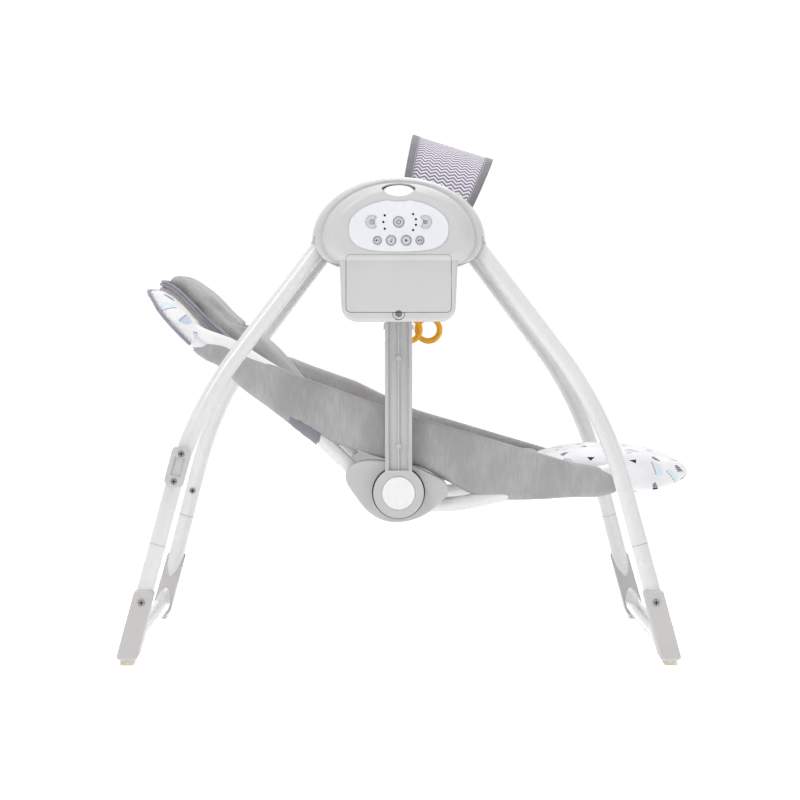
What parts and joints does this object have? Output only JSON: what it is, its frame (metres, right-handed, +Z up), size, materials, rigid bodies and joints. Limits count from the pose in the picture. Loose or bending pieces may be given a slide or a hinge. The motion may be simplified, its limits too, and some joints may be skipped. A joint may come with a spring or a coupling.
{
  "type": "baby swing",
  "caption": "Folding baby swing with padded reclining seat on two swing arms, control housing with keys and battery case, and a toy bar.",
  "frame": {"origin": "on the floor, under the middle of the overall box", "axes": "+Z up; +X towards the foot end, -X towards the head end; the control side faces -Y"},
  "size_m": [0.7549, 0.5924, 0.6916],
  "materials": {
    "housing_plastic": "fine matt moulded plastic",
    "white_plastic": "satin white plastic",
    "key_plastic": "soft grey keys",
    "dark_lens": "dark lens",
    "board": "circuit board",
    "black_metal": "black",
    "copper": "wound copper",
    "cell_wrap": "wrapped cells",
    "steel": "plated steel",
    "tube_paint": "gloss white powder coat",
    "arm_plastic": "fine matt moulded plastic",
    "cap_plastic": "fine matt moulded plastic",
    "foot_rubber": "pale rubber",
    "bush_plastic": "low-friction plastic",
    "plush": "short plush pile",
    "print_fabric": "printed woven cloth",
    "webbing": "woven webbing",
    "chevron_fabric": "printed woven cloth",
    "buckle_plastic": "moulded plastic",
    "toy_plush": "short plush",
    "ring_plastic": "glossy teether plastic"
  },
  "bodies": {
    "housings": {"battery_cells": "cell_wrap", "battery_contacts": "steel", "chassis_plates": "steel", "circuit_board": "board", "control_fascia": "white_plastic", "control_housing_back": "housing_plastic", "control_housing_cover": "housing_plastic", "drive_coil": "copper", "far_housing_back": "housing_plastic", "far_housing_cover": "housing_plastic", "housing_screws": "steel", "indicator_lights": "dark_lens", "pivot_pins": "steel", "speaker": "black_metal"},
    "rear_legs": {"rear_floor_frame": "tube_paint", "rear_foot_caps": "cap_plastic", "rear_leg_far": "tube_paint", "rear_leg_near": "tube_paint", "rear_leg_screws": "steel", "rear_pivot_blocks": "bush_plastic", "rear_rubber_feet": "foot_rubber", "fold_clip": "cap_plastic"},
    "front_legs": {"front_leg_near": "tube_paint", "front_leg_far": "tube_paint", "front_floor_frame": "tube_paint", "front_pivot_blocks": "bush_plastic", "front_foot_caps": "cap_plastic", "front_rubber_feet": "foot_rubber", "front_leg_screws": "steel"},
    "swing_arms": {"swing_arm_near": "arm_plastic", "swing_arm_far": "arm_plastic", "arm_bushes": "bush_plastic", "arm_magnet": "steel"},
    "seat": {"seat_hubs": "arm_plastic", "back_tube": "tube_paint", "front_tube": "tube_paint", "seat_base_pad": "print_fabric", "side_wing_near": "plush", "side_wing_far": "plush", "seat_liner": "plush", "head_pillow": "plush", "harness_straps": "webbing", "harness_buckle": "buckle_plastic"},
    "toy_bar": {"toy_bar": "chevron_fabric"},
    "toys": {"hanging_toys": "toy_plush", "toy_rings": "ring_plastic"},
    "near_recline_button": {"near_recline_button": "white_plastic"},
    "far_recline_button": {"far_recline_button": "white_plastic"},
    "near_fold_button": {"near_fold_button": "white_plastic"},
    "far_fold_button": {"far_fold_button": "white_plastic"},
    "battery_door": {"battery_door": "housing_plastic", "battery_door_screw": "steel"},
    "buckle_button": {"buckle_button": "buckle_plastic"},
    "melody_key": {"melody_key": "key_plastic"},
    "play_key": {"play_key": "key_plastic"},
    "power_key": {"power_key": "key_plastic"},
    "speed_key": {"speed_key": "key_plastic"},
    "timer_key": {"timer_key": "key_plastic"},
    "volume_down_key": {"volume_down_key": "key_plastic"},
    "volume_up_key": {"volume_up_key": "key_plastic"}
  },
  "joints": [
    {"name": "rear_fold", "type": "hinge", "parent": "housings", "child": "rear_legs", "pos_m": [-0.09785, 0, 0.565], "axis": [0, -1, 0], "range_deg": [0, 28]},
    {"name": "front_fold", "type": "hinge", "parent": "housings", "child": "front_legs", "pos_m": [0.06425, 0, 0.565], "axis": [0, 1, 0], "range_deg": [0, 28]},
    {"name": "swing", "type": "hinge", "parent": "housings", "child": "swing_arms", "pos_m": [-0.0168, 0, 0.56], "axis": [0, 1, 0], "range_deg": [-12, 12]},
    {"name": "recline", "type": "hinge", "parent": "swing_arms", "child": "seat", "pos_m": [-0.0168, 0, 0.212], "axis": [0, 1, 0], "range_deg": [0, 20]},
    {"name": "toy_bar_tilt", "type": "hinge", "parent": "swing_arms", "child": "toy_bar", "pos_m": [-0.0168, 0, 0.437], "axis": [0, 1, 0], "range_deg": [-45, 55]},
    {"name": "toy_swing", "type": "hinge", "parent": "toy_bar", "child": "toys", "pos_m": [0.01096, 0, 0.6761], "axis": [0, 1, 0], "range_deg": [-25, 25]},
    {"name": "near_fold_press", "type": "slide", "parent": "housings", "child": "near_fold_button", "axis": [0, 0.788, -0.6157], "range_m": [0, 0.003], "stiffness_N_per_m": 900, "springref_m": -0.002},
    {"name": "far_fold_press", "type": "slide", "parent": "housings", "child": "far_fold_button", "axis": [0, -0.788, -0.6157], "range_m": [0, 0.003], "stiffness_N_per_m": 900, "springref_m": -0.002},
    {"name": "near_recline_press", "type": "slide", "parent": "swing_arms", "child": "near_recline_button", "axis": [0, 1, 0], "range_m": [0, 0.003], "stiffness_N_per_m": 900, "springref_m": -0.002},
    {"name": "far_recline_press", "type": "slide", "parent": "swing_arms", "child": "far_recline_button", "axis": [0, -1, 0], "range_m": [0, 0.003], "stiffness_N_per_m": 900, "springref_m": -0.002},
    {"name": "battery_door_hinge", "type": "hinge", "parent": "housings", "child": "battery_door", "pos_m": [-0.0168, -0.2312, 0.5255], "axis": [-1, 0, 0], "range_deg": [0, 75]},
    {"name": "buckle_press", "type": "slide", "parent": "seat", "child": "buckle_button", "axis": [-0.2504, 0, -0.9681], "range_m": [0, 0.002], "stiffness_N_per_m": 900, "springref_m": -0.002},
    {"name": "melody_press", "type": "slide", "parent": "housings", "child": "melody_key", "axis": [0, 1, 0], "range_m": [0, 0.0008], "stiffness_N_per_m": 1200, "springref_m": -0.001},
    {"name": "play_press", "type": "slide", "parent": "housings", "child": "play_key", "axis": [0, 1, 0], "range_m": [0, 0.0008], "stiffness_N_per_m": 1200, "springref_m": -0.001},
    {"name": "power_press", "type": "slide", "parent": "housings", "child": "power_key", "axis": [0, 1, 0], "range_m": [0, 0.0008], "stiffness_N_per_m": 1200, "springref_m": -0.001},
    {"name": "speed_press", "type": "slide", "parent": "housings", "child": "speed_key", "axis": [0, 1, 0], "range_m": [0, 0.0008], "stiffness_N_per_m": 1200, "springref_m": -0.001},
    {"name": "timer_press", "type": "slide", "parent": "housings", "child": "timer_key", "axis": [0, 1, 0], "range_m": [0, 0.0008], "stiffness_N_per_m": 1200, "springref_m": -0.001},
    {"name": "volume_down_press", "type": "slide", "parent": "housings", "child": "volume_down_key", "axis": [0, 1, 0], "range_m": [0, 0.0008], "stiffness_N_per_m": 1200, "springref_m": -0.001},
    {"name": "volume_up_press", "type": "slide", "parent": "housings", "child": "volume_up_key", "axis": [0, 1, 0], "range_m": [0, 0.0008], "stiffness_N_per_m": 1200, "springref_m": -0.001}
  ]
}
